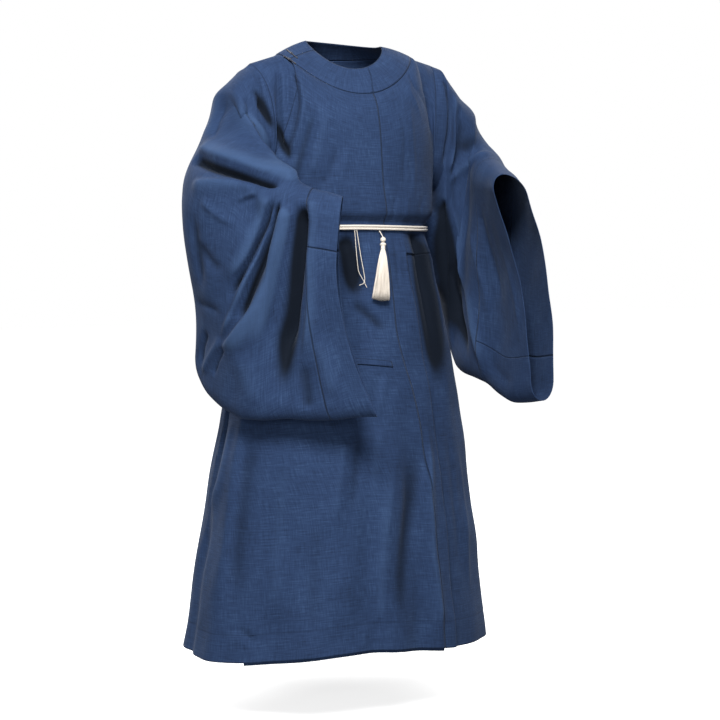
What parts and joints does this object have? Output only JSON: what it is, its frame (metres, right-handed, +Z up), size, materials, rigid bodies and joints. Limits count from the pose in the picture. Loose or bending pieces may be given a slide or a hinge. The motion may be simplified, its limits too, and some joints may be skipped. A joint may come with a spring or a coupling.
{
  "type": "round-collar hanfu robe",
  "caption": "Long worn hanfu robe with a round collar closing at the right shoulder, wide open sleeves and a cord belt with a tassel; hollow, open at neck, cuffs and hem.",
  "frame": {"origin": "middle of the neck opening, at the height where the collar rests on the wearer's shoulders", "axes": "+Z up, the front faces -Y, +X is the wearer's left"},
  "size_m": [0.8079, 0.6529, 1.3762],
  "materials": {
    "robe_linen": "matte slubby plain weave, steel blue",
    "belt_cord": "soft twisted cord, cream",
    "thread": "fine twisted thread, cream",
    "tassel_silk": "silky loose strands, cream",
    "dark_braid": "matte braid, almost black"
  },
  "bodies": {
    "root": {"body_right": "robe_linen", "body_right_back": "robe_linen", "body_right_front_skirt": "robe_linen", "body_right_back_skirt": "robe_linen", "body_left": "robe_linen", "body_left_back_skirt": "robe_linen", "front_overlap": "robe_linen", "front_overlap_skirt": "robe_linen", "front_underlap": "robe_linen", "side_panel_right": "robe_linen", "side_panel_left": "robe_linen", "collar": "robe_linen", "pocket_welt": "robe_linen", "sleeve_right": "robe_linen", "sleeve_right_lower": "robe_linen", "sleeve_right_end_top": "robe_linen", "sleeve_right_end_bottom": "robe_linen", "sleeve_left": "robe_linen", "sleeve_left_end_top": "robe_linen", "sleeve_left_end_bottom": "robe_linen", "belt_cord_upper": "belt_cord", "belt_cord_lower": "belt_cord", "thread_strand_1": "thread", "thread_strand_2": "thread", "thread_knot_end": "thread", "thread_end": "thread", "tassel_cord_and_bead": "belt_cord", "tassel": "tassel_silk", "frog_upper": "dark_braid", "frog_lower": "dark_braid"}
  },
  "joints": []
}
